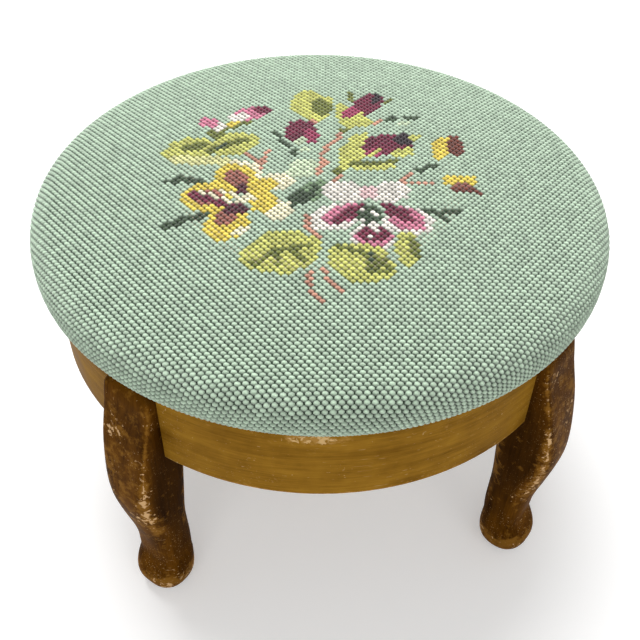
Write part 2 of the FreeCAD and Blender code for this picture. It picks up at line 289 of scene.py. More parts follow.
def worn_varnish_group():
    """The effect in layers: grain, then painted shade, then rubbed places, then bare wood."""
    tree = bpy.data.node_groups.new("worn varnish", "ShaderNodeTree")
    for way, kind, names in (
            ("INPUT", "NodeSocketVector", ("Spot", "Grain")),
            ("INPUT", "NodeSocketFloat", ("Edge", "Painted_Shade")),
            ("INPUT", "NodeSocketColor", ("Dark", "Light", "Rubbed", "Bare")),
            ("INPUT", "NodeSocketFloat", ("Wear",)),
            ("OUTPUT", "NodeSocketColor", ("Color",)),
            ("OUTPUT", "NodeSocketFloat", ("Roughness", "Height"))):
        for name in names:
            tree.interface.new_socket(name, in_out=way, socket_type=kind)
    ins = add(tree, "NodeGroupInput").outputs
    outs = add(tree, "NodeGroupOutput").inputs
    spot, edge, painted_shade, wear = (ins[name] for name in ("Spot", "Edge", "Painted_Shade", "Wear"))
    fine = noise_at(tree, stretched(tree, ins["Grain"], FINE_GRAIN), 1.0, 4.0, 0.65)
    broad = noise_at(tree, stretched(tree, ins["Grain"], BROAD_GRAIN), 1.0, 3.0, 0.5, 0.6)
    mottle = noise_at(tree, spot, MOTTLE, 4.0, 0.6)
    colour = mix_colours(tree, grain_tone(tree, fine, broad, mottle), ins["Dark"], ins["Light"])
    # Painted shade: the colour darkens towards the shade colour where the mask is, mottled a little
    painted_dark = calc(tree, "MULTIPLY", painted_shade, calc(tree, "MULTIPLY_ADD", mottle, 0.5, 0.75), clamp=True)
    colour = mix_colours(tree, calc(tree, "MULTIPLY", painted_dark, 0.72), colour, PAINTED_SHADE_COLOUR)
    rub = calc(tree, "MULTIPLY_ADD", edge, 0.26, noise_at(tree, spot, RUBBING, 6.0, 0.7))
    rub = past(tree, calc(tree, "MULTIPLY_ADD", wear, 0.18, rub), 0.66, 7.0)
    colour = mix_colours(tree, calc(tree, "MULTIPLY", rub, 0.8), colour, ins["Rubbed"])
    chips, scratches = chip_mask(tree, spot, edge, painted_shade, wear), scratch_mask(tree, spot, painted_shade, wear)
    bare = calc(tree, "MAXIMUM", chips, scratches)
    colour = mix_colours(tree, calc(tree, "MULTIPLY", bare, 0.9), colour, ins["Bare"])
    dull = calc(tree, "MULTIPLY_ADD", bare, 0.3, calc(tree, "MULTIPLY_ADD", mottle, 0.3, 0.26))
    height = calc(tree, "SUBTRACT", calc(tree, "MULTIPLY", fine, 0.35), bare)
    for name, value in (("Color", colour), ("Roughness", dull), ("Height", height)):
        join(tree, value, outs[name])
    return tree


WORN_VARNISH = worn_varnish_group()
print("worn varnish:", len(WORN_VARNISH.nodes), "nodes")

# %% Leg varnish and rail varnish
def worn_place(tree, spot, middle, reach):
    """1 within a reach (one length for each axis) of a place on the object, and 0 a little outside it."""
    away = add(tree, "ShaderNodeMapping", Scale=tuple(1 / r for r in reach),
               Location=tuple(-m / r for m, r in zip(middle, reach)))
    far = add(tree, "ShaderNodeVectorMath", operation="LENGTH")
    join(tree, spot, away.inputs["Vector"])
    join(tree, away.outputs["Vector"], far.inputs[0])
    return calc(tree, "MULTIPLY", calc(tree, "SUBTRACT", 1.25, far.outputs["Value"]), 1.3, clamp=True)


def varnished(name, wear, patch=None, **colours):
    """Varnished wood; the colours are Dark, Light, Rubbed and Bare, and a patch is a worn place."""
    made, tree, shader = material(name, Specular_IOR_Level=0.01)
    spot = add(tree, "ShaderNodeTexCoord").outputs["Object"]
    edge, painted_shade, grain = (add(tree, "ShaderNodeAttribute", attribute_name=name).outputs[way]
                          for name, way in (("edge", "Fac"), ("painted_shade", "Fac"), ("grain_spot", "Vector")))
    if patch:
        edge = calc(tree, "MAXIMUM", edge, worn_place(tree, spot, *patch))
    group = add(tree, "ShaderNodeGroup", node_tree=WORN_VARNISH)
    for key, value in (("Wear", wear), *colours.items(), ("Spot", spot), ("Grain", grain), ("Edge", edge),
                       ("Painted_Shade", painted_shade)):
        join(tree, value, group.inputs[key])
    join(tree, group.outputs["Color"], shader.inputs["Base Color"])
    join(tree, group.outputs["Roughness"], shader.inputs["Roughness"])
    bump(tree, shader, group.outputs["Height"], 0.35, 0.0003)
    return made


RUBBED_TOP = ((-0.024, -0.155, 0.177), (0.023, 0.05, 0.0055))
LEG_WOOD = varnished("leg varnish", 0.35, Dark=srgb(52, 27, 1), Light=srgb(110, 68, 13),
                     Rubbed=srgb(140, 96, 34), Bare=srgb(216, 176, 126))
RAIL_WOOD = varnished("rail varnish", 0.05, patch=RUBBED_TOP, Dark=srgb(110, 74, 14),
                      Light=srgb(164, 120, 38), Rubbed=srgb(180, 136, 70), Bare=srgb(216, 180, 124))
print("varnish ready")

# %% [markdown]
# ## Cabriole legs
# A cabriole leg is sawn from a square blank along a curve seen from two sides, and its corners are rasped
# round. It is built here as a stack of level sections: each is a rounded rectangle, and the loop of edges
# is extruded from one section to the next. A subdivision surface then gives the rasped smoothness.

# %% Leg sections
# Each is (height, outer face, inner face, half width, corner radius, wear). Lengths are in millimetres,
# and the two faces are given by their distance from the stool's axis.
LEG_SECTIONS = (
    (0.0, 162.5, 148.0, 7.5, 6.5, 0.2),
    (1.5, 165.0, 146.5, 11.0, 8.5, 0.4),
    (4.0, 167.8, 144.6, 13.8, 10.0, 0.8),
    (8.5, 171.2, 141.0, 16.5, 12.0, 0.95),
    (13.5, 172.5, 139.6, 16.9, 13.5, 1.0),
    (18.5, 171.4, 139.8, 16.8, 12.5, 0.9),
    (23.0, 169.0, 140.4, 16.4, 11.0, 0.6),
    (27.0, 166.3, 140.8, 15.8, 9.0, 0.2),
    (30.5, 164.8, 141.4, 14.9, 8.0, 0.1),
    (34.5, 165.0, 141.0, 14.7, 8.0, 0.1),
    (40.0, 165.8, 140.2, 14.5, 9.0, 0.1),
    (47.0, 166.2, 139.8, 14.6, 10.5, 0.2),
    (60.0, 168.4, 139.8, 14.8, 12.5, 0.5),
    (72.0, 171.2, 139.8, 15.2, 12.5, 0.9),
    (86.0, 174.2, 139.6, 15.8, 11.0, 1.0),
    (100.0, 176.5, 139.3, 16.1, 10.0, 1.0),
    (112.0, 175.2, 139.8, 16.4, 7.5, 1.0),
    (122.0, 173.6, 139.6, 16.5, 6.0, 1.0),
    (131.0, 172.0, 137.8, 16.5, 5.0, 0.9),
    (144.0, 169.3, 134.2, 16.5, 3.4, 0.9),
    (157.0, 165.4, 131.4, 16.5, 3.0, 0.8),
    (170.0, 162.2, 130.2, 16.5, 2.7, 0.7),
    (184.0, 161.0, 130.0, 16.5, 2.5, 0.5))
CORNER_POINTS = 5
SIDE_POINTS = 2
FOOT_TOP = 22.0
FOOT_RUB, FACE_RUB = 0.85, 0.45   # how far the wear goes past the corners: on the foot, and above it


def section_ring(section):
    """Points round one level section as (outward, sideways, edge value)."""
    height, outer, inner, half, radius, wear = section
    corners = ((outer - radius, half - radius, 0), (inner + radius, half - radius, 90),
               (inner + radius, radius - half, 180), (outer - radius, radius - half, 270))
    ring = []
    for x, y, start in corners:
        for i in range(CORNER_POINTS):
            share = i / (CORNER_POINTS - 1)
            a = math.radians(start + 90 * share)
            edge = wear * (1.0 - abs(2 * share - 1.0))
            ring.append((x + radius * math.cos(a), y + radius * math.sin(a), edge))
    full = []
    for i, point in enumerate(ring):
        full.append(point)
        if i % CORNER_POINTS == CORNER_POINTS - 1:
            after = ring[(i + 1) % len(ring)]
            for k in range(1, SIDE_POINTS + 1):
                share = k / (SIDE_POINTS + 1)
                full.append(tuple(point[j] + (after[j] - point[j]) * share for j in (0, 1)) + (0.0,))
    if height < FOOT_TOP:
        return [(x, y, max(edge, FOOT_RUB * wear)) for x, y, edge in full]
    outside = outer - 0.5 * radius
    return [(x, y, max(edge, FACE_RUB * wear) if x > outside else edge) for x, y, edge in full]


print(len(LEG_SECTIONS), "leg sections of", len(section_ring(LEG_SECTIONS[0])), "points")

# %% Legs
def varnish_layers(bm):
    """The three values that the worn varnish reads from a piece's points."""
    layers = bm.verts.layers
    return layers.float.new("edge"), layers.float.new("painted_shade"), layers.float_vector.new("grain_spot")


def leg_painted_shade(section, x):
    """Painted shade on the leg's sides and back: darker varnish, most of it up beside the rails."""
    height, outer, _, _, radius, _ = section
    depth = min(1.0, max(0.0, (outer - 0.7 * radius - x) / 3.0))
    return depth * min(1.0, max(0.15, (height - 15.0) / 75.0))


def leg_mesh(azimuth):
    """One leg, grown upwards from its sole by extruding a loop from section to section."""
    out, side = outward(azimuth), sideways(azimuth)
    bm = bmesh.new()
    edge_layer, shade_layer, grain_layer = varnish_layers(bm)
    count = len(section_ring(LEG_SECTIONS[0]))
    loop = bmesh.ops.create_circle(bm, segments=count, radius=0.01, cap_ends=False)["verts"]
    for step, section in enumerate(LEG_SECTIONS):
        if step:
            edges = [bm.edges.get(pair) for pair in zip(loop, loop[1:] + loop[:1])]
            grown = bmesh.ops.extrude_edge_only(bm, edges=edges)["geom"]
            fresh = {v for v in grown if isinstance(v, bmesh.types.BMVert)}
            loop = [next(e.other_vert(v) for e in v.link_edges if e.other_vert(v) in fresh) for v in loop]
        for vert, (x, y, edge) in zip(loop, section_ring(section)):
            vert.co = (out * x + side * y) * MM + Vector((0, 0, section[0] * MM))
            vert[edge_layer] = edge
            vert[shade_layer] = leg_painted_shade(section, x)
            vert[grain_layer] = Vector((section[0], x, y)) * MM
    bmesh.ops.holes_fill(bm, edges=[e for e in bm.edges if e.is_boundary], sides=0)
    return mesh_from("leg", bm)


for corner, azimuth in LEGS.items():
    leg = piece("cabriole_leg_" + corner, leg_mesh(azimuth), LEG_WOOD, ["leg_" + corner])
    rasped = leg.modifiers.new("rasped round", "SUBSURF")
    rasped.levels = rasped.render_levels = 1

# %% [markdown]
# ## Apron rails
# Four curved rails are sawn from thick board and tenoned into the legs. A rail is a rounded section spun
# about the stool's axis, and then cut along the flat sides of its two legs.

# %% Rails
RAIL_OUT, RAIL_IN = 156.5, 136.5
RAIL_BOTTOM = 131.6
HALF_LEG = 16.5
EASE, INNER_EASE, TOP_EASE = 2.2, 1.2, 1.0   # rounding of the edges: lower outer, lower inner, upper outer
RAIL_STEPS = 40
# Painted shade on the rail's inner face: it covers points this many millimetres from that face, at this
# strength
INSIDE_DEPTH, INSIDE_SHADE = 5.0, 0.6


def rail_section():
    """Points round the rail's section as (distance from axis, height, edge value)."""
    top = FRAME_TOP / MM
    points = [(RAIL_IN, top, 0.0), (RAIL_IN, 160.0, 0.0), (RAIL_IN, RAIL_BOTTOM + INNER_EASE, 0.3),
              (RAIL_IN + INNER_EASE, RAIL_BOTTOM, 0.3), (RAIL_OUT - EASE, RAIL_BOTTOM, 0.4)]
    for degrees in (-67.5, -45.0, -22.5):
        a = math.radians(degrees)
        points.append((RAIL_OUT - EASE + EASE * math.cos(a), RAIL_BOTTOM + EASE + EASE * math.sin(a), 1.0))
    # Rows up the flat outer face keep the wear near its two edges
    rows = ((RAIL_BOTTOM + EASE, 0.6), (RAIL_BOTTOM + 5.0, 0.0), (150.0, 0.0), (168.0, 0.0),
            (top - TOP_EASE, 0.5))
    return points + [(RAIL_OUT, z, edge) for z, edge in rows] + [(RAIL_OUT - TOP_EASE, top, 0.8)]


def rail_mesh(azimuth):
    """One rail: its section is spun through a quarter turn and cut along the sides of its two legs."""
    bm = bmesh.new()
    edge_layer, shade_layer, grain_layer = varnish_layers(bm)
    start = outward(azimuth - 45)
    verts = []
    for r, z, edge in rail_section():
        vert = bm.verts.new(start * r * MM + Vector((0, 0, z * MM)))
        vert[edge_layer] = edge
        verts.append(vert)
    edges = [bm.edges.new((verts[i - 1], verts[i])) for i in range(len(verts))]
    bmesh.ops.spin(bm, geom=verts + edges, axis=(0, 0, 1), cent=(0, 0, 0), angle=math.radians(90),
                   steps=RAIL_STEPS)
    for end in (-45, 45):
        across = sideways(azimuth + end) * (-1 if end < 0 else 1)
        cut_at = -across * HALF_LEG * MM
        bmesh.ops.bisect_plane(bm, geom=bm.verts[:] + bm.edges[:] + bm.faces[:], plane_co=cut_at,
                               plane_no=across, clear_outer=True)
    for vert in bm.verts:
        r = math.hypot(vert.co.x, vert.co.y)
        arc = math.atan2(vert.co.dot(sideways(azimuth)), vert.co.dot(outward(azimuth))) * RAIL_OUT * MM
        # Painted shade on the inner face
        vert[shade_layer] = 0.0 if r > (RAIL_IN + INSIDE_DEPTH) * MM else INSIDE_SHADE
        vert[grain_layer] = Vector((arc, r, vert.co.z))
    bmesh.ops.holes_fill(bm, edges=[e for e in bm.edges if e.is_boundary], sides=0)
    return mesh_from("rail", bm)


for side, azimuth in RAILS.items():
    piece("curved_rail_" + side, rail_mesh(azimuth), RAIL_WOOD, ["apron_rail_" + side],
          smooth=False)

# %% [markdown]
# ## The seat's outline
# The seat is round, so one outline serves the canvas and the wool: a shallow dome, a round shoulder, a
# short upright side, and a quarter round that turns under to the hem. A point on the cloth is given by its
# distance along the cloth from the middle, and by its direction, just as it would be on the canvas before
# upholstery.

# %% Seat outline
SEAT_R, RISE = 165.0, 21.0                    # millimetres; the rise is from the widest line to the middle
SHOULDER, SIDE, DRAW_IN = 14.0, 4.0, 11.0     # radius, straight length, radius
WIDEST_Z = FRAME_TOP / MM + DRAW_IN + SIDE
REACH = SEAT_R - SHOULDER
DOME_R = (REACH ** 2 + RISE ** 2 - SHOULDER ** 2) / (2 * (RISE - SHOULDER))
DOME_Z = WIDEST_Z + RISE - DOME_R
DOME_HALF = math.atan2(REACH, WIDEST_Z - DOME_Z)
RUN_DOME = DOME_R * DOME_HALF
RUN_SHOULDER = SHOULDER * (math.pi / 2 - DOME_HALF)
RUN_SIDE = RUN_DOME + RUN_SHOULDER + SIDE
RUN_HEM = RUN_SIDE + DRAW_IN * math.pi / 2


def seat_spot(run, inset=0.0):
    """Radius, height, and the outward normal's two parts, at a distance along the cloth; millimetres."""
    if run <= RUN_DOME:
        a, middle, r = run / DOME_R, (0.0, DOME_Z), DOME_R
    elif run <= RUN_DOME + RUN_SHOULDER:
        a, middle, r = DOME_HALF + (run - RUN_DOME) / SHOULDER, (REACH, WIDEST_Z), SHOULDER
    elif run <= RUN_SIDE:
        return SEAT_R - inset, WIDEST_Z - (run - RUN_DOME - RUN_SHOULDER), 1.0, 0.0
    elif run <= RUN_HEM:
        a = math.pi / 2 + (run - RUN_SIDE) / DRAW_IN
        middle, r = (SEAT_R - DRAW_IN, WIDEST_Z - SIDE), DRAW_IN
    else:
        return SEAT_R - DRAW_IN - (run - RUN_HEM), FRAME_TOP / MM + inset, 0.0, -1.0
    across, up = math.sin(a), math.cos(a)
    return middle[0] + (r - inset) * across, middle[1] + (r - inset) * up, across, up


print("cloth from the middle to the hem", round(RUN_HEM, 1), "mm; dome radius", round(DOME_R))

# %% [markdown]
# ## Padding
# Under the cloth is cotton wadding over a board. It starts from the frame's own padding, is remeshed into
# even squares, squeezed a little, and then blown up as cloth under pressure. It may move only a little, so
# that it gets the small hollows and swells that stuffing has, inside the space it was given.

# %% Padding
VOXEL = 0.005
MIDDLE_Z = 0.199
SQUEEZE = 0.99
PRESSURE = 4.0
SWELL_FRAMES = 20
SWELL_LIMIT = 0.0012      # metres, like the voxel and the middle's height


def merged_copy(node, name):
    """Copy of a node's mesh with its loose triangles joined."""
    bm = bmesh.new()
    bm.from_mesh(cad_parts[node].data)
    bmesh.ops.remove_doubles(bm, verts=bm.verts, dist=0.00001)
    return mesh_from(name, bm, recalc=False)


def only_active(made):
    """Selects one object alone, as the simulation expects."""
    for other in bpy.context.selected_objects:
        other.select_set(False)
    made.select_set(True)
    bpy.context.view_layer.objects.active = made


def apply_all(made):
    """Replaces an object's mesh with the result of its modifiers."""
    depsgraph = bpy.context.evaluated_depsgraph_get()
    result = bpy.data.meshes.new_from_object(made.evaluated_get(depsgraph))
    made.modifiers.clear()
    made.data = result


def make_padding():
    pad = new_object("wadding", merged_copy("seat_padding", "wadding"))
    only_active(pad)
    voxels = pad.modifiers.new("even squares", "REMESH")
    voxels.mode = "VOXEL"
    voxels.voxel_size = VOXEL
    apply_all(pad)
    middle = Vector((0, 0, MIDDLE_Z))
    start = [v.co.copy() for v in pad.data.vertices]
    for v in pad.data.vertices:
        v.co = middle + (v.co - middle) * SQUEEZE
    cloth = pad.modifiers.new("swell", "CLOTH")
    cloth.settings.use_pressure = True
    cloth.settings.uniform_pressure_force = PRESSURE
    cloth.settings.effector_weights.gravity = 0.0
    cloth.settings.quality = 5
    cloth.point_cache.frame_start = 1
    cloth.point_cache.frame_end = SWELL_FRAMES
    for number in range(1, SWELL_FRAMES + 1):
        bpy.context.scene.frame_set(number)
    apply_all(pad)
    bpy.context.scene.frame_set(1)
    for v, first in zip(pad.data.vertices, start):
        moved = v.co - first
        if moved.length > SWELL_LIMIT:
            v.co = first + moved * (SWELL_LIMIT / moved.length)
    return pad


def cotton_wadding():
    made, tree, shader = material("cotton wadding", 0.95, Sheen_Weight=0.3)
    spot = add(tree, "ShaderNodeTexCoord")
    flat = stretched(tree, spot.outputs["Object"], (700.0, 700.0, 300.0))
    fibres = noise_at(tree, flat, 1.0, 5.0, 0.7, 1.5)
    lumps = noise_at(tree, spot.outputs["Object"], 60.0, 2.0)
    tone = calc(tree, "MULTIPLY_ADD", fibres, 0.6, calc(tree, "MULTIPLY", lumps, 0.4))
    colour = ramp(tree, tone, ((0.3, srgb(176, 160, 128)), (0.7, srgb(224, 214, 190))))
    join(tree, colour, shader.inputs["Base Color"])
    bump(tree, shader, tone, 0.5, 0.0008)
    return made


padding = make_padding()
padding.data.materials.clear()
padding.data.materials.append(cotton_wadding())
padding.data.shade_smooth()
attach(padding, BODY)
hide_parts("seat_padding")
print("padding", len(padding.data.vertices), "points")

# %% [markdown]
# ## Canvas
# The canvas is one round sheet, stretched over the padding and turned under the board, where it is tacked.
# Its outline is spun about the stool's axis and given the thickness of the canvas.

# %% Canvas
CANVAS_DEPTH = 1.2        # millimetres under the seat's outline
CANVAS_THICK = 0.5
TURNED_UNDER = 32.0
AROUND = 144              # steps round the seat
# The canvas threads: spacing in millimetres, and direction in degrees on the flat canvas
THREAD_A = (3.03, 42.5)
THREAD_B = (2.88, -56.5)
WEAVE_SCALE = 330.0       # threads per metre


def canvas_mesh():
    """Round cloth with 12 rows on the dome, 6 on the shoulder, 6 on the turn and 4 under the board."""
    runs = [RUN_DOME * i / 12 for i in range(13)]
    runs += [RUN_DOME + RUN_SHOULDER * i / 6 for i in range(1, 7)]
    runs += [RUN_SIDE + (RUN_HEM - RUN_SIDE) * i / 6 for i in range(7)]
    runs += [RUN_HEM + TURNED_UNDER * i / 4 for i in range(1, 5)]
    bm = bmesh.new()
    verts = []
    for run in runs:
        r, z, _, _ = seat_spot(run, CANVAS_DEPTH)
        verts.append(bm.verts.new((r * MM, 0.0, z * MM)))
    edges = [bm.edges.new(pair) for pair in zip(verts, verts[1:])]
    bmesh.ops.spin(bm, geom=verts + edges, axis=(0, 0, 1), cent=(0, 0, 0), angle=math.tau, steps=AROUND,
                   use_merge=True)
    bmesh.ops.remove_doubles(bm, verts=bm.verts, dist=0.00002)
    return mesh_from("canvas", bm)


def canvas_cloth():
    made, tree, shader = material("canvas", 0.9, Sheen_Weight=0.1)
    spot = add(tree, "ShaderNodeTexCoord")
    height = None
    for _, turn in (THREAD_A, THREAD_B):
        wave = add(tree, "ShaderNodeTexWave", Scale=1.0, wave_profile="SIN")
        across = stretched(tree, spot.outputs["Object"], (WEAVE_SCALE,) * 3, (0, 0, math.radians(-turn)))
        join(tree, across, wave.inputs["Vector"])
        threads = wave.outputs["Fac"]
        height = threads if height is None else calc(tree, "MAXIMUM", height, threads)
    # Painted shade: the canvas is dark green to stand for the shade in the gaps between the stitches,
    # darkest between its threads
    colour = ramp(tree, height, ((0.2, srgb(30, 48, 36)), (0.9, srgb(74, 98, 74))))
    join(tree, colour, shader.inputs["Base Color"])
    bump(tree, shader, height, 0.5, 0.0004)
    return made


canvas = piece("canvas", canvas_mesh(), canvas_cloth(), ["needlepoint_cover"])
shell = canvas.modifiers.new("canvas thickness", "SOLIDIFY")
shell.thickness = CANVAS_THICK * MM
shell.offset = -1.0

# %% [markdown]
# ## The wool stitches
# Each stitch is a short slanting loop of wool over one crossing of the canvas. On the real seat they are
# what one sees, so each is a small mesh of its own: a stretched ball with two dozen faces. The canvas
# threads run at a slant to the stool's front, so the stitches lie in slanting rows, and each one lies
# across its crossing, between the two directions of the threads.

# %% One stitch
STITCH_LONG, STITCH_WIDE, STITCH_HIGH = 3.45, 2.75, 2.5
STITCH_SLANT = -17.0      # degrees on the flat canvas
BELLY = 1.12              # the yarn is this much fatter between its two ends


def stitch_mesh():
    """A ball drawn out along X, with a UV map that runs along the yarn and round it."""
    bm = bmesh.new()
    bmesh.ops.create_uvsphere(bm, u_segments=6, v_segments=4, radius=1.0)
    bmesh.ops.rotate(bm, verts=bm.verts, cent=(0, 0, 0), matrix=Matrix.Rotation(math.pi / 2, 3, "Y"))
    uv = bm.loops.layers.uv.new("wool")
    for face in bm.faces:
        for corner in face.loops:
            x, y, z = corner.vert.co
            corner[uv].uv = (x * 0.5 + 0.5, math.atan2(z, y) / math.tau + 0.5)
    for v in bm.verts:
        fat = 1.0 if abs(v.co.x) > 0.9 else BELLY
        v.co = Vector((v.co.x * STITCH_LONG / 2, v.co.y * fat * STITCH_WIDE / 2,
                       v.co.z * fat * STITCH_HIGH / 2))
    return mesh_from("stitch", bm)


one_stitch = stitch_mesh()
print("one stitch has", len(one_stitch.polygons), "faces")

# %% [markdown]
# ## The floral spray
# The stitcher worked a spray of flowers from wools of about twenty colours. A stitch has one colour, so the
# spray is drawn as ovals, leaves and lines on the flat canvas, and each stitch takes the colour of the last
# shape that covers its middle.

# %% Wool colours
WOOL = {name: srgb(*rgb) for name, rgb in {
    "ground": (180, 202, 178), "mint": (206, 222, 188), "sage": (120, 146, 110), "lime": (204, 206, 110),
    "pale_lime": (226, 226, 160), "olive": (112, 120, 48), "dark_green": (56, 76, 50),
    "cream": (246, 240, 206), "yellow": (232, 208, 84), "mauve": (160, 98, 84),
    "dark_maroon": (78, 18, 36), "maroon": (112, 24, 56), "magenta": (166, 60, 96), "pink": (216, 130, 156),
    "pale_pink": (240, 205, 205), "white": (242, 236, 226), "salmon": (206, 150, 126),
    "black_purple": (34, 14, 26), "brown": (112, 52, 36)}.items()}
print(len(WOOL), "wools")

